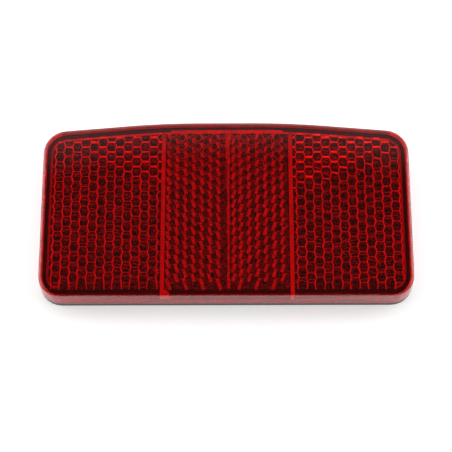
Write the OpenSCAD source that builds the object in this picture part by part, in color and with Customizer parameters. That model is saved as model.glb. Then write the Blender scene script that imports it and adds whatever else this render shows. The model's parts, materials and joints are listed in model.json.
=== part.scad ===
// Rear reflector for a bicycle carrier, lying on its flat back with the face up.
// The lens is one moulding of red acrylic with cube-corner prisms on its inner side.
// A black back plate closes it, and holds two nuts for the fixing bolts.
// Millimetres. +Z comes out of the face, +Y is up when fitted, the origin is on the back face.

/* [Outline] */
// Width over the foot of the skirt
lens_w = 94; // [88:0.5:104]
// Height over the foot of the skirt, on the centre line
lens_h = 46.7; // [42:0.1:54]
// How far the top edge falls from the middle to the sides
top_drop = 2.6; // [1:0.1:4]
// Distance from the middle at which the top edge starts to fall
top_level = 16; // [12:0.5:22]
// Largest radius that blends the level top into its slopes
top_bend_r = 215; // [60:5:300]
// Radius of the two top corners
top_corner_r = 6.5; // [5:0.1:9]
// Radius of the two bottom corners
bottom_corner_r = 5.8; // [5:0.1:9]

/* [Lens section] */
// Depth from the back face to the front face
depth = 8; // [7.8:0.1:10]
// Outward slope of the skirt towards its foot, in degrees
skirt_draft = 5.5; // [2:0.5:8]
// Radius of the front edge
edge_r = 0.8; // [0.4:0.1:1.2]
// Thickness of the face where it has no prisms
face_t = 1.8; // [1.2:0.1:2]
// Thickness of the skirt where it joins the face
skirt_t = 1.05; // [0.9:0.05:1.4]
// Slope of the skirt's inner side, wider towards its foot, in degrees
inner_draft = 1; // [0:0.5:2]
// Width of the plain channel between the skirt and the prism block
channel_w = 0.95; // [0.8:0.05:1.3]
// Extra width of the channel along the top
top_channel_extra = 0.2; // [0:0.05:0.4]

/* [Prism block] */
// Thickness of the block over the prisms, below the face
block_base_t = 0.2; // [0.2:0.05:0.5]
// Width of the flat border round the prisms
block_border_w = 0.5; // [0.3:0.05:0.8]
// Height of the cells in the side fields, between their level borders
side_cell_h = 2.65; // [2.3:0.01:2.7]
// Lean of the cubes in the side fields, away from the bars, in degrees
side_lean = 19; // [5:1:23]
// Width of the cells in the centre fields, across their flats
centre_cell_w = 2.41; // [2.2:0.01:2.6]
// Distance from each bar to the tips of the first column of side cells
side_start = 1.45; // [0:0.05:1.5]
// How far the rows of cells in the right side field stand above those in the left one
right_rows_up = 0.6; // [0:0.05:1.3]
// Lean of the cubes in the centre fields, away from the seam, in degrees
centre_lean = 10; // [0:1:14]
// Distance of the flank of each centre cell from the middle of the cell
flank_x = 0.8; // [0.6:0.05:0.95]
// Slope of the flank, in degrees
flank_slope = 66; // [60:1:70]
// Turn of the flank from the direction away from the seam, in degrees
flank_turn = -18; // [-30:1:0]
// Distance from the seam to the middle of the first column of cells on its left
left_start = -0.5; // [-1:0.05:1]
// Distance from the seam to the middle of the first column of cells on its right
right_start = 0; // [-1:0.05:1]

/* [Bars and seam] */
// Place of the left bar, from the middle
left_bar_x = -15.9; // [-18:0.1:-14]
// Place of the right bar, from the middle
right_bar_x = 16.4; // [14:0.1:18]
// Width of the two bars at the face
bar_w = 1; // [0.8:0.05:1.3]
// Place of the seam between the centre fields, from the middle
seam_x = 0.6; // [-1:0.1:1]
// Width of the seam
seam_w = 0.45; // [0.3:0.05:0.8]
// Depth of the bars and the seam below the inner side of the face
bar_depth = 2.3; // [1.5:0.1:2.5]
// Slope of the flanks of the bars and the seam, in degrees
bar_draft = 1.5; // [0.5:0.5:2]
// Height of the ledge over the centre fields, into the top channel
ledge_h = 0.45; // [0.2:0.05:0.5]
// How far the ledge stops short of each bar
ledge_inset = 1.4; // [0.5:0.1:3]
// Length along the skirt of the three-cornered web at the foot of the left bar
web_l = 1.6; // [0.8:0.1:2.4]

/* [Back plate] */
// Thickness of the back plate
plate_t = 1.6; // [1.4:0.1:2]
// Gap on each side of the plate's tongue in the lens channel
tongue_gap = 0.08; // [0.05:0.01:0.15]
// Gap between the tongue's tip and the face
tongue_tip_gap = 0.2; // [0.1:0.05:0.4]

/* [Fixing] */
// Distance from each side to the axis of its fixing hole
fixing_side = 7; // [7:0.5:20]
// Diameter of the clearance holes in the back plate
fixing_hole_d = 5.4; // [5.2:0.1:6]
// Diameter of the nut's thread bore
nut_bore_d = 4.2; // [4.1:0.05:4.5]
// Width of the nuts across their flats
nut_af = 8; // [7:0.5:8]
// Gap between the nuts and the tips of the prisms over them, which sets how thick the nuts are
nut_tip_gap = 0.15; // [0.15:0.01:0.6]
// Chamfer on the nuts' corners and on both mouths of their bores
nut_chamfer = 0.3; // [0.1:0.05:0.4]
// Plastic left below each nut
nut_seat_t = 0.8; // [0.7:0.1:0.9]
// Gap round each nut in its pocket
nut_gap = 0.08; // [0.05:0.01:0.15]
// Wall of the pocket round each nut
pocket_wall_t = 1; // [0.8:0.1:1.1]
// How far each nut stands out of its pocket
nut_proud = 0.5; // [0.2:0.1:0.8]

/* [Hidden] */
$fn = 48;

// Steps of the arcs in the outline and on the front edge
corner_steps = 7;
bend_steps = 4;
edge_steps = 4;
// Thickness of the slices that a hull spans
slice_t = 0.001;
// How far joined solids run into each other, and how far cuts run out of a solid
embed = 0.2;
// Growth of each cell into its neighbours, so that their union is one solid
overlap = 1.004;

// The slope of the top edge and the blend that fits before the centre line
top_slope = atan2(top_drop, lens_w / 2 - top_level);
bend_r = min(top_bend_r, 0.95 * top_level / tan(top_slope / 2));
half_h = lens_h / 2;

// Heights above the back face
edge_z = depth - edge_r;
face_in_z = depth - face_t;
block_z = face_in_z - block_base_t;
bar_foot_z = face_in_z - bar_depth;
tongue_top_z = face_in_z - tongue_tip_gap;

// Insets from the outline at the skirt's foot
edge_inset = (edge_z - plate_t) * tan(skirt_draft);
cavity_inset = (face_in_z - plate_t) * tan(skirt_draft) + skirt_t;
block_inset = cavity_inset + channel_w;
prism_inset = block_inset + block_border_w;

// Slope of a cube's faces when the cube stands on one corner
face_slope = atan(sqrt(2));

// Steps between the corners of the side cells' cubes, along X and up, while the cubes stand upright
side_step = side_cell_h / sqrt(12);
side_rise = side_cell_h / sqrt(6);
side_tip_z = block_z - side_z(-2, 2);

// Place and thickness of the nuts
fixing_x = lens_w / 2 - fixing_side;
nut_t = side_tip_z - nut_tip_gap - nut_seat_t;

// The ledge's ends
ledge_x0 = left_bar_x + bar_w / 2 + ledge_inset;
ledge_x1 = right_bar_x - bar_w / 2 - ledge_inset;

function arc(centre, r, from, to, steps) =
  [for (i = [0:steps]) let (a = from + (to - from) * i / steps) centre + r * [cos(a), sin(a)]];

// Right half of the outline, upwards from the bottom edge, inset by the given distance.
function half_outline(inset) =
  let (
    side_x = lens_w / 2,
    corner_x = side_x - top_corner_r,
    drop_at_corner = (top_corner_r + (corner_x - side_x) * sin(top_slope)) / cos(top_slope),
    bend_x = top_level - bend_r * tan(top_slope / 2)
  )
  concat(
    arc([side_x - bottom_corner_r, bottom_corner_r - half_h], bottom_corner_r - inset, -90, 0,
      corner_steps),
    arc([corner_x, half_h - top_drop - drop_at_corner], top_corner_r - inset, 0, 90 - top_slope,
      corner_steps),
    arc([bend_x, half_h - bend_r], bend_r - inset, 90 - top_slope, 90, bend_steps)
  );

function outline(inset) =
  let (right = half_outline(inset), last = len(right) - 1)
  concat(right, [for (i = [last:-1:0]) [-right[i].x, right[i].y]]);

// The outline with its top edge lowered.
module form(inset, lowered = 0) {
  intersection() {
    polygon(outline(inset));
    translate([0, -lowered]) polygon(outline(inset));
  }
}

module slab(z0, z1, inset, lowered = 0) {
  translate([0, 0, z0]) linear_extrude(z1 - z0) form(inset, lowered);
}

// A slab whose sides draw in by the given distance from its top to its foot, or out where it is below 0.
module drafted_slab(z0, z1, inset, lowered, draw) {
  hull() {
    slab(z1 - slice_t, z1, inset, lowered);
    slab(z0, z0 + slice_t, inset + draw, lowered);
  }
}

// The outer form of the lens: a drafted skirt under a rounded front edge.
module lens_outside() {
  hull() {
    slab(plate_t, plate_t + slice_t, 0);
    for (i = [0:edge_steps]) {
      a = 90 * i / edge_steps;
      z = edge_z + edge_r * sin(a);
      slab(z - slice_t, z, edge_inset + edge_r * (1 - cos(a)));
    }
  }
}

// A rib along Y that hangs from the face, narrower towards its foot.
module rib(x, w, y0, y1) {
  foot_w = w - 2 * (bar_depth + embed) * tan(bar_draft);
  hull() {
    translate([x - w / 2, y0, face_in_z + embed - slice_t]) cube([w, y1 - y0, slice_t]);
    translate([x - foot_w / 2, y0, bar_foot_z]) cube([foot_w, y1 - y0, slice_t]);
  }
}

// Place along X of a corner of a side cell's cube, from its tip, and its height over the tip. The
// corner is given by its steps along X and its level, from 0 at the tip to 2.
function side_x(steps, level) = steps * side_step * cos(side_lean) + level * side_rise * sin(side_lean);
function side_z(steps, level) = level * side_rise * cos(side_lean) - steps * side_step * sin(side_lean);

// The cells of a side field, from x = 0 on, as one sheet closed on top. Each cell is the corner of a
// cube that leans towards +X. All tips stand on one level, so that upright walls in zigzags part the
// columns. A wall runs from its low line, which ends the cells before it, to its high line. The first
// wall has its low line on top instead, and the last wall its high line.
module side_cells(field_w, start) {
  column_w = side_x(3, 0);
  columns = ceil((field_w - start) / column_w) + 1;
  half_rows = 2 * ceil(half_h / side_cell_h);
  rows = 2 * half_rows + 1;
  first_tip = 2 * rows * (columns + 1);

  function has_tip(column, row) = (column + row) % 2 == 0;
  function low(wall, row) = 2 * (wall * rows + row);
  function high(wall, row) = low(wall, row) + 1;
  function tip(column, row) = first_tip + (column * rows + row) / 2;
  function place(column, row, x, z) =
    [(column - 1) * column_w + x + start, (row - half_rows) * side_cell_h / 2, z];

  walls = [
    for (i = [0:columns], row = [0:rows - 1])
      let (
        steps = has_tip(i, row) ? -2 : -1,
        x = side_x(steps, -steps),
        z = side_z(steps, -steps)
      )
      each [
        place(i, row, x, i == 0 ? depth : z - side_z(-3, 0)),
        place(i, row, x, i == columns ? depth : z)
      ]
  ];
  tips = [
    for (i = [0:columns - 1], row = [0:rows - 1])
      if (has_tip(i, row)) place(i, row, 0, 0)
  ];

  function row_line(row) = [
    low(0, row),
    for (i = [0:columns - 1])
      each has_tip(i, row)
        ? [high(i, row), tip(i, row), low(i + 1, row)]
        : [high(i, row), low(i + 1, row)],
    high(columns, row)
  ];
  foot_line = row_line(0);

  translate([0, 0, side_tip_z]) polyhedron(
    points = concat(walls, tips),
    faces = concat(
      [
        for (i = [0:columns - 1], row = [0:rows - 2])
          let (
            left = high(i, row),
            next_left = high(i, row + 1),
            right = low(i + 1, row),
            next_right = low(i + 1, row + 1)
          )
          each has_tip(i, row)
            ? let (t = tip(i, row))
              [[t, next_left, left], [t, right, next_right], [t, next_right, next_left]]
            : let (t = tip(i, row + 1))
              [[t, next_left, left], [t, left, right], [t, right, next_right]]
      ],
      [
        for (i = [0:columns], row = [0:rows - 2])
          [low(i, row), high(i, row), high(i, row + 1), low(i, row + 1)]
      ],
      [row_line(rows - 1), [for (i = [len(foot_line) - 1:-1:0]) foot_line[i]]],
      [concat([for (row = [0:rows - 1]) low(0, row)], [for (row = [rows - 1:-1:0]) high(columns, row)])]
    )
  );
}

// Depth of a leaning cell, from its tip to its highest corner, which is either in the middle
// of the face that leans back or in the two others.
function leaning_depth() =
  let (
    s = sin(face_slope) / 2,
    c = cos(face_slope),
    side_corner = ((s * cos(centre_lean) + c * sin(centre_lean)) / 2 + 1.5 * s)
      / (c * cos(centre_lean) - s * sin(centre_lean))
  )
  centre_cell_w / sqrt(3) * max(tan(face_slope - centre_lean), side_corner);

// A six-sided cell whose tip is the corner of a leaning cube, with a flank on one side.
module leaning_cell() {
  reach = 2 * centre_cell_w;
  intersection() {
    cylinder(r = overlap * centre_cell_w / sqrt(3), h = reach, $fn = 6);
    rotate([0, centre_lean - face_slope, 0]) rotate([0, 0, -45]) cube(2 * reach);
    rotate([0, 0, flank_turn]) translate([flank_x, 0, flank_x * tan(face_slope - centre_lean)])
      rotate([0, 90 - flank_slope, 0]) translate([-reach, -reach, -reach]) cube(2 * reach * [0.5, 1, 1]);
  }
}

// Columns of leaning cells from x = 0 on, the middle of the first column at x = start.
module centre_cells(field_w, start) {
  column_w = centre_cell_w * cos(30);
  columns = ceil((field_w - start) / column_w);
  half_rows = ceil(half_h / centre_cell_w);
  for (i = [0:columns], j = [-half_rows:half_rows])
    translate([start + i * column_w, (j + (i % 2) / 2) * centre_cell_w, block_z - leaning_depth()])
      leaning_cell();
}

// Puts cells into the field from x0 to x1, which start at x0, and cuts them to the form of the block.
module field(x0, x1) {
  intersection() {
    drafted_slab(plate_t, face_in_z + embed, prism_inset, top_channel_extra, 0);
    translate([min(x0, x1), -half_h, plate_t]) cube([abs(x1 - x0), lens_h, depth]);
    translate([x0, 0, 0]) mirror([x1 < x0 ? 1 : 0, 0, 0]) children();
  }
}

// The block's top edge stands further into the channel over the centre fields.
module ledge() {
  intersection() {
    drafted_slab(block_z, face_in_z + embed, block_inset - ledge_h, top_channel_extra, 0);
    translate([ledge_x0, 0, 0]) cube([ledge_x1 - ledge_x0, half_h, depth]);
  }
}

// The three-cornered web between the left bar and the skirt.
module web() {
  foot_y = cavity_inset - half_h;
  translate([0, 0, bar_foot_z]) linear_extrude(bar_depth + embed)
    polygon([
      [left_bar_x, foot_y - embed],
      [left_bar_x + bar_w / 2 + web_l, foot_y - embed],
      [left_bar_x + bar_w / 2 + web_l, foot_y],
      [left_bar_x, foot_y + channel_w + block_border_w]
    ]);
}

module lens() {
  bar_half = bar_w / 2;
  seam_half = seam_w / 2;
  rib_end_y = half_h - block_inset - block_border_w / 2;
  color("#c01018") {
    difference() {
      lens_outside();
      drafted_slab(0, face_in_z, cavity_inset, 0, -face_in_z * tan(inner_draft));
    }
    drafted_slab(block_z, face_in_z + embed, block_inset, top_channel_extra, 0);
    ledge();
    field(left_bar_x - bar_half, -lens_w / 2) side_cells(lens_w / 2, side_start);
    field(right_bar_x + bar_half, lens_w / 2)
      translate([0, right_rows_up, 0]) side_cells(lens_w / 2, side_start);
    field(seam_x - seam_half, left_bar_x + bar_half) centre_cells(lens_w / 4, left_start);
    field(seam_x + seam_half, right_bar_x - bar_half) centre_cells(lens_w / 4, right_start);
    for (x = [left_bar_x, right_bar_x])
      rib(x, bar_w, cavity_inset - embed - half_h, rib_end_y - top_channel_extra);
    rib(seam_x, seam_w, -rib_end_y, rib_end_y - top_channel_extra);
    web();
  }
}

// A six-sided prism with two flats facing the sides.
module hexagon(across, z0, z1) {
  translate([0, 0, z0]) rotate([0, 0, 30]) cylinder(d = across / cos(30), h = z1 - z0, $fn = 6);
}

// Room for the bars and the web where they cross the tongue.
module bar_notches() {
  notch_z = bar_foot_z - tongue_gap;
  for (x = [left_bar_x, right_bar_x]) {
    web_here = x == left_bar_x ? web_l : 0;
    translate([x - bar_w / 2 - tongue_gap, -half_h, notch_z])
      cube([bar_w + web_here + 2 * tongue_gap, half_h, depth]);
  }
}

module tongue() {
  difference() {
    slab(plate_t - embed, tongue_top_z, cavity_inset + tongue_gap);
    slab(0, depth, block_inset - tongue_gap, top_channel_extra);
    intersection() {
      slab(block_z - tongue_gap, depth, block_inset - ledge_h - tongue_gap, top_channel_extra);
      translate([ledge_x0 - tongue_gap, 0, 0]) cube([ledge_x1 - ledge_x0 + 2 * tongue_gap, half_h, depth]);
    }
    bar_notches();
  }
}

module back_plate() {
  color("#151515") difference() {
    union() {
      slab(0, plate_t, 0);
      tongue();
      for (s = [-1, 1])
        translate([s * fixing_x, 0, 0])
          hexagon(nut_af + 2 * (nut_gap + pocket_wall_t), 0, nut_seat_t + nut_t - nut_proud);
    }
    for (s = [-1, 1])
      translate([s * fixing_x, 0, 0]) {
        hexagon(nut_af + 2 * nut_gap, nut_seat_t, depth);
        translate([0, 0, -embed]) cylinder(d = fixing_hole_d, h = depth);
      }
  }
}

// A thin six-sided nut with chamfered corners and a smooth bore in place of its thread.
module nut(x) {
  corner_r = nut_af / 2 / cos(30);
  bore_r = nut_bore_d / 2;
  color("#b8b8b0") translate([x, 0, nut_seat_t]) intersection() {
    hexagon(nut_af, 0, nut_t);
    rotate_extrude() polygon([
      [bore_r + nut_chamfer, 0],
      [corner_r - nut_chamfer, 0],
      [corner_r, nut_chamfer],
      [corner_r, nut_t - nut_chamfer],
      [corner_r - nut_chamfer, nut_t],
      [bore_r + nut_chamfer, nut_t],
      [bore_r, nut_t - nut_chamfer],
      [bore_r, nut_chamfer]
    ]);
  }
}

module nut_left() {
  nut(-fixing_x);
}

module nut_right() {
  nut(fixing_x);
}

lens();
back_plate();
nut_left();
nut_right();
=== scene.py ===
import json
import math
import random

import bmesh
import bpy
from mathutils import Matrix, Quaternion, Vector

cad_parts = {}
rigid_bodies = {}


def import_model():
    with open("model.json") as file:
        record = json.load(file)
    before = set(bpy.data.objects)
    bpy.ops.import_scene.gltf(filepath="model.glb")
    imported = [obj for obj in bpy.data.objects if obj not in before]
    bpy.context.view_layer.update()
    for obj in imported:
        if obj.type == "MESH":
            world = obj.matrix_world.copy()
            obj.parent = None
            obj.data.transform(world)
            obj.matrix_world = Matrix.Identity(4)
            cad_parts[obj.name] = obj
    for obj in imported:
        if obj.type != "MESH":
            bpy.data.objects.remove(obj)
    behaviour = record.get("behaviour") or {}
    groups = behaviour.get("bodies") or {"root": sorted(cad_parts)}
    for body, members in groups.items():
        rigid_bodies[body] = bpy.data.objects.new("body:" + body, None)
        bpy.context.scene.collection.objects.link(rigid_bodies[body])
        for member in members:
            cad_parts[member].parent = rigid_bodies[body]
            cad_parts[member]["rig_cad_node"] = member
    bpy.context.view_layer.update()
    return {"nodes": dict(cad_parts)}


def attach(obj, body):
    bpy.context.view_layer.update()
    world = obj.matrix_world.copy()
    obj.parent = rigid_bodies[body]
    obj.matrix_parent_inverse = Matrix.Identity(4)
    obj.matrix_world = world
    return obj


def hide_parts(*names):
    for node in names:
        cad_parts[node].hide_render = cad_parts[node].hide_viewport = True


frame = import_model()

mm = 0.001
joinWithin = 0.0001 * mm  # corners of neighbouring CAD triangles lie nearer than this


def hexToLinear(code):
    channels = [int(code[i:i + 2], 16) / 255 for i in (1, 3, 5)]
    return [c / 12.92 if c <= 0.04045 else ((c + 0.055) / 1.055) ** 2.4 for c in channels] + [1]


def addNode(tree, kind, values=None, links=None, **settings):
    node = tree.nodes.new("ShaderNode" + kind)
    for name, setting in settings.items():
        setattr(node, name, setting)
    for socket, value in (values or {}).items():
        node.inputs[socket].default_value = value
    for socket, source in (links or {}).items():
        tree.links.new(source, node.inputs[socket])
    return node


def startMaterial(name):
    material = bpy.data.materials.new(name)
    material.use_nodes = True
    tree = material.node_tree
    return material, tree, tree.nodes["Principled BSDF"]


def pick(mesh, kind, test):
    # selects the faces or edges of the mesh in edit mode that pass the test
    bpy.ops.mesh.select_mode(type=kind)
    bpy.ops.mesh.select_all(action="DESELECT")
    edit = bmesh.from_edit_mesh(mesh)
    picked = 0
    for element in edit.faces if kind == "FACE" else edit.edges:
        if test(element):
            element.select_set(True)
            picked += 1
    bmesh.update_edit_mesh(mesh)
    return picked


def copyNode(node, name):
    # a visual copy of a CAD solid: its loose triangles are merged where their corners meet
    bpy.ops.object.select_all(action="DESELECT")
    source = frame["nodes"][node]
    source.select_set(True)
    bpy.context.view_layer.objects.active = source
    bpy.ops.object.duplicate()
    piece = bpy.context.object
    bpy.ops.object.parent_clear(type="CLEAR_KEEP_TRANSFORM")
    del piece["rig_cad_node"]
    piece.name = name
    piece.data.name = name
    piece.data.materials.clear()
    bpy.ops.object.mode_set(mode="EDIT")
    bpy.ops.mesh.select_all(action="SELECT")
    bpy.ops.mesh.remove_doubles(threshold=joinWithin)
    bpy.ops.object.mode_set(mode="OBJECT")
    return piece


def mottle(tree, size, dark, light, spread=(0.35, 0.65), detail=3, roughness=0.5):
    # noise in patches of the given size in mm, and the colours between two tones that it gives
    place = addNode(tree, "TexCoord").outputs["Object"]
    patch = addNode(tree, "TexNoise", {"Scale": 1 / (size * mm), "Detail": detail, "Roughness": roughness},
                    {"Vector": place}).outputs["Fac"]
    shade = addNode(tree, "ValToRGB", links={"Fac": patch})
    for element, position, code in zip(shade.color_ramp.elements, spread, (dark, light)):
        element.position = position
        element.color = hexToLinear(code)
    return place, patch, shade.outputs["Color"]


lensTint = {
    "acrylic": "#F81418",
    "dustSize": 1.2,
    # the inner wall: the red body with its painted glow, and the painted shade that it shows towards the
    # prisms
    "bodyDark": "#A8181A",
    "body": "#D62422",
    "bodyGlow": 0.1,
    "bodyPatch": 1.8,
    "shade": "#2A1414",
    # the valley lines: their tones, a painted red glow, and painted orange light towards the lamp
    "borderDark": "#D01614",
    "border": "#F41C1A",
    "borderLit": "#FF5030",
    "borderGlow": 0.2,
    "borderLitGlow": 0.5,
    "borderPatch": 1.6,
    "litFrom": 4,
    "litTo": 26,
    "lampWay": (0.25, 1, 0),
    # the cube corner walls: colour of their painted glow and painted reflection lines
    "glow": "#FF2A30",
    "pinSize": 1.3,
    "lineCore": 0.4,
}
# frosted finishes, each with a painted glow: red emission for the light that the acrylic scatters
frostTones = {
    "frostedRedAcrylic": {"patchSize": 1.6, "dark": "#E81A18", "light": "#FF2622", "glow": 0.2},
    "mattFlankAcrylic": {"patchSize": 0.7, "dark": "#861012", "light": "#D01C1A", "glow": 0.2},
    "steppedBorderAcrylic": {"patchSize": 2.2, "dark": "#B41414", "light": "#DC1E1C", "glow": 0.18},
    "faintBorderAcrylic": {"patchSize": 1.6, "dark": "#8C1014", "light": "#C81C1E", "glow": 0.1},
    # copies of the glowing foot: darker at the high side as painted shade, lighter at the sides and low edge
    # as painted light
    "shadedFootAcrylic": {"patchSize": 1.6, "dark": "#861312", "light": "#B01F1E", "glow": 0.08},
    "litSideFootAcrylic": {"patchSize": 1.6, "dark": "#A81614", "light": "#DC2220", "glow": 0.18},
    "litLowFootAcrylic": {"patchSize": 1.6, "dark": "#A01412", "light": "#D01A18", "glow": 0.12},
}
# the cube corner walls: tones of painted shade, painted glow, and the painted reflection lines' glow, cell
# size and width
wallTones = {
    "cubeCornerWalls": {"dark": "#441014", "light": "#5C1418", "glow": 0.008, "lineGlow": 0.08,
                        "imageSize": 1.2, "lineWidth": 0.1},
    "leaningCornerWalls": {"dark": "#440E12", "light": "#601216", "glow": 0.009, "lineGlow": 0.08,
                           "imageSize": 1.15, "lineWidth": 0.22},
}


def makeClearAcrylic():
    # injection-moulded PMMA from a polished mould: clear deep red and glossy, with fine dust and wipe
    # marks that only show in the highlights
    material, tree, surface = startMaterial("polishedRedAcrylic")
    place = addNode(tree, "TexCoord").outputs["Object"]
    dust = addNode(tree, "TexNoise", {"Scale": 1 / (lensTint["dustSize"] * mm), "Detail": 4},
                   {"Vector": place})
    rough = addNode(tree, "MapRange", {"From Min": 0.55, "From Max": 0.8, "To Min": 0.0, "To Max": 0.03},
                    {"Value": dust.outputs["Fac"]})
    surface.inputs["Base Color"].default_value = hexToLinear(lensTint["acrylic"])
    surface.inputs["Transmission Weight"].default_value = 1
    surface.inputs["IOR"].default_value = 1.49
    tree.links.new(rough.outputs["Result"], surface.inputs["Roughness"])
    return material


def makeFrostedAcrylic(name, patchSize, dark, light, glow):
    # the same acrylic where the mould is spark-eroded or matt, with painted light: a red emission in uneven
    # patches that stands in for the light which it guides and scatters out through the face
    material, tree, surface = startMaterial(name)
    _, _, shade = mottle(tree, patchSize, dark, light, spread=(0.35, 0.64), roughness=0.7)
    tree.links.new(shade, surface.inputs["Base Color"])
    tree.links.new(shade, surface.inputs["Emission Color"])
    surface.inputs["Emission Strength"].default_value = glow
    surface.inputs["Roughness"].default_value = 0.6
    surface.inputs["Specular IOR Level"].default_value = 0
    return material


def makeInnerWallAcrylic():
    # the drafted inner wall of the skirt, lightly matt: from within the acrylic it shows the red body with a
    # painted glow for the light from outside, and from the gap around the prisms a dark painted shade
    material, tree, surface = startMaterial("mattInnerWallAcrylic")
    _, _, body = mottle(tree, lensTint["bodyPatch"], lensTint["bodyDark"], lensTint["body"])
    within = addNode(tree, "NewGeometry").outputs["Backfacing"]
    tint = addNode(tree, "MixRGB", {"Color1": hexToLinear(lensTint["shade"])},
                   {"Fac": within, "Color2": body})
    glow = addNode(tree, "Math", {1: lensTint["bodyGlow"]}, {0: within}, operation="MULTIPLY")
    tree.links.new(tint.outputs["Color"], surface.inputs["Base Color"])
    tree.links.new(tint.outputs["Color"], surface.inputs["Emission Color"])
    tree.links.new(glow.outputs[0], surface.inputs["Emission Strength"])
    surface.inputs["Roughness"].default_value = 0.5
    surface.inputs["Specular IOR Level"].default_value = 0.2
    return material


def makeBorderAcrylic():
    # rounded valley bottoms between the prisms, as thin lines of painted light: a red glow, and a painted
    # orange glow where the lamp is near
    material, tree, surface = startMaterial("paintedGlowBorderAcrylic")
    place, patch, shade = mottle(tree, lensTint["borderPatch"], lensTint["borderDark"], lensTint["border"],
                                 spread=(0.35, 0.62), roughness=0.7)
    towards = addNode(tree, "VectorMath", {1: lensTint["lampWay"]}, {0: place}, operation="DOT_PRODUCT")
    lit = addNode(tree, "MapRange",
                  {"From Min": lensTint["litFrom"] * mm, "From Max": lensTint["litTo"] * mm},
                  {"Value": towards.outputs["Value"]}, interpolation_type="SMOOTHSTEP")
    spots = addNode(tree, "MapRange", {"From Min": 0.4, "From Max": 0.62}, {"Value": patch})
    litSpots = addNode(tree, "Math", links={0: lit.outputs["Result"], 1: spots.outputs["Result"]},
                       operation="MULTIPLY")
    tint = addNode(tree, "MixRGB", {"Color2": hexToLinear(lensTint["borderLit"])},
                   {"Fac": litSpots.outputs[0], "Color1": shade})
    glow = addNode(tree, "MapRange", {"To Min": lensTint["borderGlow"], "To Max": lensTint["borderLitGlow"]},
                   {"Value": litSpots.outputs[0]})
    tree.links.new(tint.outputs["Color"], surface.inputs["Base Color"])
    tree.links.new(tint.outputs["Color"], surface.inputs["Emission Color"])
    tree.links.new(glow.outputs["Result"], surface.inputs["Emission Strength"])
    surface.inputs["Roughness"].default_value = 0.6
    surface.inputs["Specular IOR Level"].default_value = 0
    return material


def makePrismWalls(name, dark, light, glow, lineGlow, imageSize, lineWidth):
    # the polished walls of the cube corners, mirroring by total reflection: a deep red half mirror in
    # painted shade, with a faint painted glow uneven from the mould pins and painted reflections of the cell
    # borders as faint lines
    material, tree, surface = startMaterial(name)
    place, pins, shade = mottle(tree, lensTint["pinSize"], dark, light)
    images = addNode(tree, "TexVoronoi", {"Scale": 1 / (imageSize * mm)}, {"Vector": place},
                     feature="DISTANCE_TO_EDGE")
    edge = lineWidth / imageSize
    lines = addNode(tree, "MapRange", {"From Min": lensTint["lineCore"] * edge, "From Max": edge,
                                       "To Min": lineGlow, "To Max": glow},
                    {"Value": images.outputs["Distance"]}, interpolation_type="SMOOTHSTEP")
    patches = addNode(tree, "MapRange", {"From Min": 0.35, "From Max": 0.65, "To Min": 0.6, "To Max": 1.5},
                      {"Value": pins})
    level = addNode(tree, "Math", links={0: lines.outputs["Result"], 1: patches.outputs["Result"]},
                    operation="MULTIPLY")
    tree.links.new(shade, surface.inputs["Base Color"])
    tree.links.new(level.outputs[0], surface.inputs["Emission Strength"])
    surface.inputs["Emission Color"].default_value = hexToLinear(lensTint["glow"])
    surface.inputs["Metallic"].default_value = 0.6
    surface.inputs["Roughness"].default_value = 0.1
    return material


backTint = {
    "plateDark": "#131313",
    "plate": "#1D1C1C",
    "plateGrain": 0.25,
    "grainDepth": 0.02,
    "zincDark": "#A9ABAF",
    "zinc": "#CFD0D2",
    "zincCloud": 1.5,
}


def makeBlackAbs():
    # ABS moulded with a fine spark-eroded grain: a soft grey sheen on black, broken up by the grain
    material, tree, surface = startMaterial("grainedBlackAbs")
    _, grain, shade = mottle(tree, backTint["plateGrain"], backTint["plateDark"], backTint["plate"],
                             spread=(0, 1))
    bump = addNode(tree, "Bump", {"Strength": 0.25, "Distance": backTint["grainDepth"] * mm},
                   {"Height": grain})
    tree.links.new(shade, surface.inputs["Base Color"])
    tree.links.new(bump.outputs["Normal"], surface.inputs["Normal"])
    surface.inputs["Roughness"].default_value = 0.5
    return material


def makeZincSteel():
    # pressed steel nuts, zinc plated and clear passivated: a bluish grey metal with a faint cloudy bloom
    material, tree, surface = startMaterial("zincPlatedSteel")
    _, cloud, shade = mottle(tree, backTint["zincCloud"], backTint["zincDark"], backTint["zinc"],
                             spread=(0, 1), detail=4)
    rough = addNode(tree, "MapRange", {"To Min": 0.22, "To Max": 0.42}, {"Value": cloud})
    tree.links.new(shade, surface.inputs["Base Color"])
    tree.links.new(rough.outputs["Result"], surface.inputs["Roughness"])
    surface.inputs["Metallic"].default_value = 1
    return material


clearAcrylic = makeClearAcrylic()
innerWallAcrylic = makeInnerWallAcrylic()
borderAcrylic = makeBorderAcrylic()
frosted = {name: makeFrostedAcrylic(name, **tones) for name, tones in frostTones.items()}
walls = {name: makePrismWalls(name, **tones) for name, tones in wallTones.items()}
blackAbs = makeBlackAbs()
zincSteel = makeZincSteel()
print("finishes ready")

lensShape = {
    "skirtFootHeight": 1.6,
    "skirtTop": 6.3,
    "ribFootHeight": 3.9,
    "blockHeight": 6.0,
    "prismFoot": 3.3,
    "slack": 0.02,
    "footSlack": 0.1,
    "footGap": 0.03,
    "thinWidth": 0.1,
    "thinSeed": 11,
    "ridgeSpread": (0.3, 1),
    "stepTurn": 15.6,
    "smoothAngle": 24,
    "seamX": 0.6,
    "centreFromX": -15.4,
    "centreToX": 15.9,
    "lowEdgeY": -18.5,
    "highEdgeY": 19,
    "sideFromX": 40,
    "cornerFromX": 42.6,
}
# limits that tell the faces and edges of the lens apart: the z of a face's normal, the bend at an edge in
# radians, and how far a level edge may rise for its width
facing = {"foot": -0.9, "prism": -0.15, "slope": 0.2, "wall": 0.3, "upright": 0.02, "turnSlack": 0.01,
          "flat": 0.9999, "bend": 0.5, "levelRise": 0.2}


def inCentre(place):
    return lensShape["centreFromX"] * mm < place.x < lensShape["centreToX"] * mm


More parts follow.
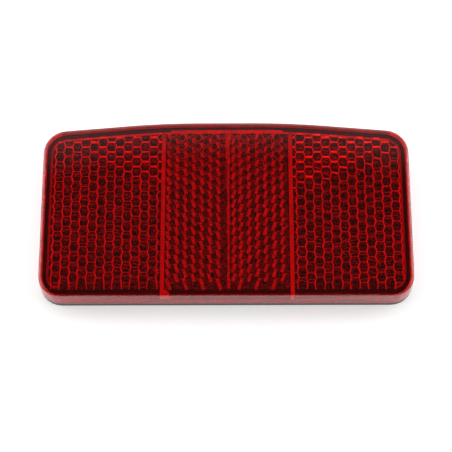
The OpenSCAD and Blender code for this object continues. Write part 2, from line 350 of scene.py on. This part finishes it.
def liesAt(face, name):
    # whether a face looks down at the height of that name
    off = face.calc_center_median().z - lensShape[name] * mm
    return face.normal.z < facing["foot"] and abs(off) < lensShape["slack"] * mm


def isLow(face):
    return max(v.co.y for v in face.verts) < lensShape["lowEdgeY"] * mm


def isHigh(face):
    return min(v.co.y for v in face.verts) > lensShape["highEdgeY"] * mm


def liesAside(face):
    # whether a face lies at the left or right edge of the lens
    return min(abs(v.co.x) for v in face.verts) > lensShape["sideFromX"] * mm


def isRibFoot(face):
    # feet of the bars and the seam, which get the frosted finish with its painted glow
    return liesAt(face, "ribFootHeight") and not isHigh(face)


def isRedFoot(face):
    # foot of the web over the centre, and the rim of the prism block but for its low edge, which get a
    # painted glow
    webFoot = liesAt(face, "ribFootHeight") and isHigh(face)
    return webFoot or (liesAt(face, "blockHeight") and not isLow(face))


def isInnerWall(face):
    heights = [v.co.z for v in face.verts]
    return abs(face.normal.z) < facing["wall"] and max(heights) < lensShape["skirtTop"] * mm \
        and min(heights) < (lensShape["skirtFootHeight"] + lensShape["footSlack"]) * mm


def isShadedFoot(face):
    # the skirt's foot at its high side, and the rim of the prism block on the left and right: the darker
    # copy of the glowing foot, as painted shade
    high = isHigh(face) and max(abs(v.co.x) for v in face.verts) < lensShape["cornerFromX"] * mm
    return (liesAt(face, "skirtFootHeight") and high) or (liesAt(face, "blockHeight") and liesAside(face))


# the skirt's foot at its sides, with the lighter copy of the glowing foot: painted light
def isLitSideFoot(face):
    return liesAt(face, "skirtFootHeight") and not isLow(face) and not isShadedFoot(face)


# the skirt's foot along its low edge, with a lighter copy of the glowing foot: painted light
def isLitLowFoot(face):
    return liesAt(face, "skirtFootHeight") and isLow(face)


def amongPrisms(element):
    # whether a face or an edge lies between the tips of the prisms and the block over them
    heights = [v.co.z for v in element.verts]
    return min(heights) > lensShape["prismFoot"] * mm \
        and max(heights) < (lensShape["blockHeight"] + lensShape["slack"] / 2) * mm


def isStep(face):
    # the upright walls in zigzags between the columns of leaning side cubes
    turned = abs(face.normal.y) - math.sin(math.radians(lensShape["stepTurn"]))
    upright = abs(face.normal.z) < facing["upright"] and abs(turned) < facing["turnSlack"]
    return upright and amongPrisms(face) and not inCentre(face.calc_center_median())


def isPrismWall(face):
    # the sloping walls of the cube corners, the steps between their columns and the low rim of the block
    if isStep(face):
        return True
    highRim = liesAt(face, "blockHeight") and not isLow(face)
    return amongPrisms(face) and face.normal.z < facing["prism"] and not liesAt(face, "ribFootHeight") \
        and not highRim


def isCentreWall(face):
    return isPrismWall(face) and inCentre(face.calc_center_median())


def runsLevel(edge):
    a, b = (v.co for v in edge.verts)
    return abs(a.y - b.y) < facing["levelRise"] * abs(a.x - b.x)


def betweenSlopes(edge):
    return amongPrisms(edge) and len(edge.link_faces) == 2 \
        and all(abs(f.normal.z) > facing["slope"] for f in edge.link_faces)


def isValley(edge):
    return edge.calc_face_angle_signed() < -facing["bend"]


def thinShares(edges):
    # share of the thin width for each edge, drawn as a line of painted light: the level valleys of the
    # centre cells, for the light that their bottoms scatter, the ridges of the side cells, and 0 for any
    # other edge
    chance = random.Random(lensShape["thinSeed"])
    shares = []
    for edge in edges:
        share = 0
        if betweenSlopes(edge):
            centre = inCentre(edge.verts[0].co)
            if centre and isValley(edge) and runsLevel(edge):
                share = 1
            elif not centre and edge.calc_face_angle_signed() > facing["bend"]:
                share = chance.uniform(*lensShape["ridgeSpread"])
        shares.append(share)
    return shares


# each finish with the faces that it goes to: the last one that fits a face stays; the last three are lit and
# shaded copies of the foot, painted light and shade
lensFinishes = (
    (frosted["frostedRedAcrylic"], isRibFoot),
    (walls["cubeCornerWalls"], isPrismWall),
    (walls["leaningCornerWalls"], isCentreWall),
    (innerWallAcrylic, isInnerWall),
    (frosted["steppedBorderAcrylic"], isRedFoot),
    (frosted["litLowFootAcrylic"], isLitLowFoot),
    (frosted["litSideFootAcrylic"], isLitSideFoot),
    (frosted["shadedFootAcrylic"], isShadedFoot),
)


def makeLens():
    lens = copyNode("lens", "lensMoulding")
    lens.data.materials.append(clearAcrylic)
    # the thin lines get the faint frosted finish, which glows as painted light
    lens.data.materials.append(frosted["faintBorderAcrylic"])
    thinLineSlot = 1
    for finish, _ in lensFinishes:
        lens.data.materials.append(finish)
    bpy.ops.object.mode_set(mode="EDIT")
    for slot, (finish, test) in enumerate(lensFinishes, thinLineSlot + 1):
        print(finish.name, pick(lens.data, "FACE", test))
        lens.active_material_index = slot
        bpy.ops.object.material_slot_assign()
    # the skirt's foot stands off the plate by a hair, so that its frosted face isn't inside the plate
    pick(lens.data, "FACE", lambda face: liesAt(face, "skirtFootHeight"))
    bpy.ops.transform.translate(value=(0, 0, lensShape["footGap"] * mm))
    bpy.ops.object.mode_set(mode="OBJECT")
    edit = bmesh.new()
    edit.from_mesh(lens.data)
    edit.edges.ensure_lookup_table()
    weights = thinShares(edit.edges)
    edit.free()
    attribute = lens.data.attributes.new("bevel_weight_edge", "FLOAT", "EDGE")
    attribute.data.foreach_set("value", weights)
    print("thin lines", sum(w > 0 for w in weights))
    bevel = lens.modifiers.new("thinLines", "BEVEL")
    bevel.limit_method = "WEIGHT"
    bevel.offset_type = "WIDTH"
    bevel.width = lensShape["thinWidth"] * mm
    bevel.segments = 1
    bevel.material = thinLineSlot
    bevel.use_clamp_overlap = False
    bpy.ops.object.modifier_apply(modifier="thinLines")
    bpy.ops.object.shade_smooth_by_angle(angle=math.radians(lensShape["smoothAngle"]))
    # flat faces keep their own normals, or they would bend the view at the corners
    bpy.ops.object.mode_set(mode="EDIT")
    pick(lens.data, "FACE", lambda face: abs(face.normal.z) > facing["flat"])
    bpy.ops.mesh.faces_shade_flat()
    bpy.ops.object.mode_set(mode="OBJECT")
    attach(lens, "root")
    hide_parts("lens")


netShape = {
    "height": 6.05,
    "halfThickness": 0.02,
    "joinWithin": 0.01,
    "seed": 5,
    "topY": 20.3,
    "topFall": 0.07,
    "litFromLeft": 6,
    "litFromRight": 3.5,
    "litRise": 0.38,
    "litSoftness": 4,
    "leftShift": 0.66,
    "rightShift": 1.25,
    "fineFromY": 4,
    "fineRise": 14,
}


def litShare(place):
    # how far a place lies in the upper zone of its field, which the lamp lights best: from 0 to 1
    start = netShape["litFromRight"] if place.x > 0 else netShape["litFromLeft"]
    start += netShape["litRise"] * (abs(place.x) / mm - lensShape["centreToX"])
    share = min(1, max(0, (place.y / mm - start) / netShape["litSoftness"] + 0.5))
    return share * share * (3 - 2 * share)


def seenShift(place):
    # the acrylic shows the borders higher than they are, on the right only in the upper zone
    if place.x > 0:
        return netShape["rightShift"] * litShare(place) * mm
    return netShape["leftShift"] * mm


def keepBelowTop(point):
    top = netShape["topY"] - netShape["topFall"] * max(0, abs(point.co.x) / mm - lensShape["centreToX"])
    point.co.y = min(point.co.y, top * mm)


def upperShare(place):
    # from 0 at the height where the centre field turns finer to 1 at its top
    return min(1, max(0, (place.y / mm - netShape["fineFromY"]) / netShape["fineRise"]))


levelShape = {"width": 0.52, "cuts": 2, "shareLow": 0.18, "lineSpread": (0.75, 1.15),
              "pointSpread": (0.8, 1.1)}


def isLevelBorder(edge):
    # valley between one cell and the next in a column of side cells
    aside = not any(inCentre(v.co) for v in edge.verts)
    return aside and betweenSlopes(edge) and isValley(edge) and runsLevel(edge)


def formLevel(points, chance):
    # the strips run narrow away from the lamp and full width where it lights best: painted light
    shape = levelShape
    share = chance.uniform(*shape["lineSpread"])
    low = shape["shareLow"]
    for point in points:
        lit = litShare(point.co)
        point.co.y += seenShift(point.co)
        keepBelowTop(point)
        point.radius = share * (low + (1 - low) * lit) * chance.uniform(*shape["pointSpread"])


zigzagShape = {"width": 0.36, "cuts": 1, "shareLit": 0.7, "wobble": 0.05, "pointSpread": (0.65, 1.25),
               "leastRise": 0.1, "lowRowY": -19.4, "lowEndY": -20.8}


def isZigzagBorder(edge):
    # upper rim of the steps between the columns
    steps = [face for face in edge.link_faces if isStep(face)]
    return len(steps) == 1 and len(edge.link_faces) == 2 and isValley(edge) \
        and abs(edge.verts[0].co.y - edge.verts[1].co.y) > zigzagShape["leastRise"] * mm


def formZigzag(points, chance):
    # the lowest points go down to the edge of the block
    shape = zigzagShape
    for point in points:
        lit = litShare(point.co)
        point.co.x += chance.uniform(-1, 1) * shape["wobble"] * mm
        if point.co.y < shape["lowRowY"] * mm:
            point.co.y = shape["lowEndY"] * mm
        else:
            point.co.y += seenShift(point.co)
        keepBelowTop(point)
        # the strips run thinner where the lamp lights best, as part of the painted light
        point.radius = (1 + (shape["shareLit"] - 1) * lit) * chance.uniform(*shape["pointSpread"])


faintShape = {"width": 0.13, "cuts": 3, "cellHeight": 2.65, "reach": 0.45, "tilt": 0.35, "sag": 0.4,
              "pointSpread": (0.6, 1.2)}


def formFaint(points, chance):
    # an arc somewhere in the cell, as a painted reflection: the mirrored image of a border
    shape = faintShape
    shift = chance.uniform(-1, 1) * shape["reach"] * shape["cellHeight"] * mm
    tilt, sag = chance.uniform(-1, 1) * shape["tilt"] * mm, chance.uniform(-1, 1) * shape["sag"] * mm
    for number, point in enumerate(points):
        along = 2 * number / (len(points) - 1) - 1
        point.co.y += seenShift(point.co) + shift + tilt * along + sag * (1 - along * along)
        keepBelowTop(point)
        point.radius = chance.uniform(*shape["pointSpread"])


flankShape = {
    "width": 0.8,
    "cuts": 0,
    "length": 2.1,
    "lean": 18,
    "aside": 0.8,
    "up": 0.13,
    "leastValley": 0.6,
    "toX": 14.6,
    "lowRowY": -19,
    "lowRowShare": 0.4,
    "fineShortening": 0.35,
    "shorteningSpread": (0.5, 1.3),
    "fineThinning": 0.25,
    "thinningSpread": (0.3, 1.4),
    "fineWobble": 0.15,
    "pointSpread": (0.9, 1.1),
}


def isCentreLevel(edge):
    # valley between one cell and the next in a column of centre cells
    a, b = (v.co for v in edge.verts)
    return betweenSlopes(edge) and isValley(edge) and runsLevel(edge) and inCentre(a) \
        and (a - b).length > flankShape["leastValley"] * mm and a.x < flankShape["toX"] * mm


def formFlank(points, chance):
    # the matt flank of a centre cell, as a leaning strip of painted light beside the level valley of the
    # cell, which the acrylic shows shorter and more broken towards the top
    shape = flankShape
    fine = upperShare(points[0].co)
    side = 1 if points[0].co.x > lensShape["seamX"] * mm else -1
    x = (points[0].co.x + points[1].co.x) / 2 + side * shape["aside"] * mm
    y = (points[0].co.y + points[1].co.y) / 2 + shape["up"] * mm
    lean = side * math.tan(math.radians(shape["lean"]))
    low = -0.5 if y > shape["lowRowY"] * mm else -0.5 - shape["lowRowShare"]
    for point, end in zip(points, (0.5, low)):
        shortening = shape["fineShortening"] * fine * chance.uniform(*shape["shorteningSpread"])
        reach = end * shape["length"] * (1 - shortening) * mm
        point.co.x = x + lean * reach + fine * chance.uniform(-1, 1) * shape["fineWobble"] * mm
        point.co.y = y + reach
        keepBelowTop(point)
        point.radius = chance.uniform(*shape["pointSpread"]) \
            * (1 - shape["fineThinning"] * fine * chance.uniform(*shape["thinningSpread"]))


loopShape = {"width": 0.2, "cuts": 5, "aside": -0.38, "up": 1.05, "halfWidth": 1, "halfHeight": 1.05,
             "wobble": 0.12, "shareLow": 0.4, "pointSpread": (0.5, 1.2)}


def isUpperCentreLevel(edge):
    return isCentreLevel(edge) and edge.verts[0].co.y > netShape["fineFromY"] * mm


def formLoop(points, chance):
    # a thin uneven loop of painted light around the dark middle of a centre cell, wider towards the top
    shape = loopShape
    fine = upperShare(points[0].co)
    side = 1 if points[0].co.x > lensShape["seamX"] * mm else -1
    x = (points[0].co.x + points[-1].co.x) / 2 + side * shape["aside"] * mm
    y = (points[0].co.y + points[-1].co.y) / 2 + shape["up"] * mm
    low = shape["shareLow"]
    for number, point in enumerate(points):
        turn = 2 * math.pi * number / (len(points) - 1)
        wobble = 1 + chance.uniform(-1, 1) * shape["wobble"]
        point.co.x = x + math.cos(turn) * shape["halfWidth"] * wobble * mm
        point.co.y = y + math.sin(turn) * shape["halfHeight"] * wobble * mm
        keepBelowTop(point)
        point.radius = chance.uniform(*shape["pointSpread"]) * (low + (1 - low) * fine)


seamShape = {"width": 0.85, "cuts": 36, "leastLength": 5, "reach": 0.5, "sideSpread": (-0.12, 0.08),
             "pointSpread": (0.35, 1), "fineGain": 0.5}


def isSeamBorder(edge):
    # one long edge of the foot of the seam's rib
    a, b = (v.co for v in edge.verts)
    seam, reach = lensShape["seamX"] * mm, seamShape["reach"] * mm
    beside = all(seam - reach < x < seam for x in (a.x, b.x))
    return beside and abs(a.y - b.y) > seamShape["leastLength"] * mm \
        and any(liesAt(face, "ribFootHeight") for face in edge.link_faces)


def formSeam(points, chance):
    # the seam's strip of painted light widens and narrows where the matt flanks beside it run into it, most
    # of all near the top
    shape = seamShape
    for point in points:
        fine = upperShare(point.co)
        point.co.x = (lensShape["seamX"] + chance.uniform(*shape["sideSpread"]) * (1 + fine)) * mm
        point.radius = chance.uniform(*shape["pointSpread"]) * (1 + shape["fineGain"] * fine)


def makeBorderNet(name, test, shape, form, finish):
    # chosen edges of the lens, brought to one height inside the acrylic as flat glowing strips: painted
    # light for the light that they scatter
    net = copyNode("lens", name)
    bpy.ops.object.mode_set(mode="EDIT")
    print(name, pick(net.data, "EDGE", test))
    bpy.ops.mesh.select_all(action="INVERT")
    bpy.ops.mesh.delete(type="EDGE")
    bpy.ops.mesh.select_all(action="SELECT")
    bpy.ops.mesh.delete_loose(use_verts=True, use_edges=False, use_faces=False)
    bpy.ops.mesh.select_all(action="SELECT")
    middle = (0, 0, netShape["height"] * mm)
    bpy.ops.transform.resize(value=(1, 1, 0), center_override=middle)
    bpy.ops.mesh.remove_doubles(threshold=netShape["joinWithin"] * mm)
    if shape["cuts"]:
        bpy.ops.mesh.subdivide(number_cuts=shape["cuts"])
    bpy.ops.object.mode_set(mode="OBJECT")
    bpy.ops.object.convert(target="CURVE")
    chance = random.Random(netShape["seed"])
    for spline in net.data.splines:
        form(spline.points, chance)
    net.data.bevel_depth = shape["width"] / 2 * mm
    net.data.bevel_resolution = 0
    net.data.use_fill_caps = True
    bpy.ops.object.convert(target="MESH")
    bpy.ops.object.mode_set(mode="EDIT")
    bpy.ops.mesh.select_all(action="SELECT")
    flatness = 2 * netShape["halfThickness"] / shape["width"]
    bpy.ops.transform.resize(value=(1, 1, flatness), center_override=middle)
    bpy.ops.object.mode_set(mode="OBJECT")
    net.data.materials.clear()
    net.data.materials.append(finish)
    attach(net, "root")


makeBorderNet("levelBorders", isLevelBorder, levelShape, formLevel, borderAcrylic)
makeBorderNet("zigzagBorders", isZigzagBorder, zigzagShape, formZigzag, frosted["steppedBorderAcrylic"])
makeBorderNet("paintedBorderReflections", isLevelBorder, faintShape, formFaint, frosted["faintBorderAcrylic"])
makeBorderNet("flankStrips", isCentreLevel, flankShape, formFlank, frosted["mattFlankAcrylic"])
makeBorderNet("fineBorders", isUpperCentreLevel, loopShape, formLoop, frosted["mattFlankAcrylic"])
makeBorderNet("seamBorder", isSeamBorder, seamShape, formSeam, frosted["mattFlankAcrylic"])
makeLens()
print("lens ready")

for node, finish in (("back_plate", blackAbs), ("nut_left", zincSteel), ("nut_right", zincSteel)):
    solid = frame["nodes"][node]
    for slot in solid.material_slots:
        slot.material = finish
print("plate and nuts ready")

studio = {
    "floorSize": 4,
    "floorGrey": "#D6D6D6",
    "floorGlow": 0.46,
    "darkSide": 80,
    "darkFrom": 30,
    "darkTo": 36,
    "darkLevel": 0.05,
    "tentLevel": 1.25,
    "lowSideShare": 0.05,
    "farSideShare": 1.6,
    "lowSideTo": -0.7,
    "farSideFrom": 0.4,
    "boxFrom": 0.72,
    "boxTo": 0.86,
    "boxShare": 3.2,
}


def makeFloor():
    bpy.ops.object.select_all(action="DESELECT")
    bpy.ops.mesh.primitive_plane_add(size=studio["floorSize"], location=(0, 0, 0))
    floor = bpy.context.object
    floor.name = "studioFloor"
    material, tree, surface = startMaterial("paintedStudioFloor")
    surface.inputs["Base Color"].default_value = hexToLinear(studio["floorGrey"])
    surface.inputs["Roughness"].default_value = 0.9
    surface.inputs["Specular IOR Level"].default_value = 0
    path = addNode(tree, "LightPath")
    seen = addNode(tree, "Math", links={0: path.outputs["Is Camera Ray"], 1: path.outputs["Is Glossy Ray"]},
                   operation="MAXIMUM")
    seen = addNode(tree, "Math", links={0: seen.outputs[0], 1: path.outputs["Is Transmission Ray"]},
                   operation="MAXIMUM")
    glow = addNode(tree, "Math", {1: studio["floorGlow"]}, {0: seen.outputs[0]}, operation="MULTIPLY")
    surface.inputs["Emission Color"].default_value = (1, 1, 1, 1)
    tree.links.new(glow.outputs[0], surface.inputs["Emission Strength"])
    floor.data.materials.append(material)


def makeWorld():
    # a white dome over the far side, open and dark towards the camera, with a soft box to the left and right
    world = bpy.data.worlds.new("lightTent")
    bpy.context.scene.world = world
    world.use_nodes = True
    tree = world.node_tree
    tent = tree.nodes["Background"]
    side = math.radians(studio["darkSide"])
    way = addNode(tree, "TexCoord").outputs["Generated"]
    towards = addNode(tree, "VectorMath", {1: (0, -math.cos(side), math.sin(side))}, {0: way},
                      operation="DOT_PRODUCT")
    angle = addNode(tree, "Math", links={0: towards.outputs["Value"]}, operation="ARCCOSINE")
    level = addNode(tree, "MapRange", {
        "From Min": math.radians(studio["darkFrom"]), "From Max": math.radians(studio["darkTo"]),
        "To Min": studio["darkLevel"], "To Max": studio["tentLevel"]}, {"Value": angle.outputs[0]},
        interpolation_type="SMOOTHSTEP")
    parts = addNode(tree, "SeparateXYZ", links={"Vector": way})
    far = addNode(tree, "MapRange", {
        "From Min": studio["lowSideTo"], "From Max": studio["farSideFrom"],
        "To Min": studio["lowSideShare"], "To Max": studio["farSideShare"]}, {"Value": parts.outputs["Y"]},
        interpolation_type="SMOOTHSTEP")
    aside = addNode(tree, "Math", links={0: parts.outputs["X"]}, operation="ABSOLUTE")
    boxes = addNode(tree, "MapRange", {
        "From Min": studio["boxFrom"], "From Max": studio["boxTo"],
        "To Min": 1, "To Max": studio["boxShare"]}, {"Value": aside.outputs[0]},
        interpolation_type="SMOOTHSTEP")
    level = addNode(tree, "Math", links={0: level.outputs["Result"], 1: far.outputs["Result"]},
                    operation="MULTIPLY")
    level = addNode(tree, "Math", links={0: level.outputs[0], 1: boxes.outputs["Result"]},
                    operation="MULTIPLY")
    tent.inputs["Color"].default_value = (1, 1, 1, 1)
    tree.links.new(level.outputs[0], tent.inputs["Strength"])


makeFloor()
makeWorld()

view = {"tilt": 17, "turn": 0.13, "roll": -0.57, "focalPixels": 1207.3, "pictureWidth": 452, "sensor": 36,
        "distance": 309.4, "target": (-0.05, -2.54)}


def makeCamera():
    tilt = math.radians(view["tilt"])
    camera = bpy.data.cameras.new("productCamera")
    camera.sensor_width = view["sensor"]
    camera.lens = view["focalPixels"] / view["pictureWidth"] * view["sensor"]
    camera.clip_start = 0.01
    camera.clip_end = 50
    stand = bpy.data.objects.new("productCamera", camera)
    bpy.context.collection.objects.link(stand)
    target = Vector((*view["target"], 0)) * mm
    back = Vector((math.sin(math.radians(view["turn"])), -math.sin(tilt), math.cos(tilt)))
    stand.location = target + back * view["distance"] * mm
    aim = (target - stand.location).to_track_quat("-Z", "Y")
    stand.rotation_euler = (aim @ Quaternion((0, 0, 1), math.radians(view["roll"]))).to_euler()
    bpy.context.scene.camera = stand


makeCamera()
bpy.context.scene.view_settings.view_transform = "Standard"
# cube corners need many turns of the light inside the acrylic
bpy.context.scene.cycles.max_bounces = 32
bpy.context.scene.cycles.glossy_bounces = 24
bpy.context.scene.cycles.transmission_bounces = 24
print("studio ready")
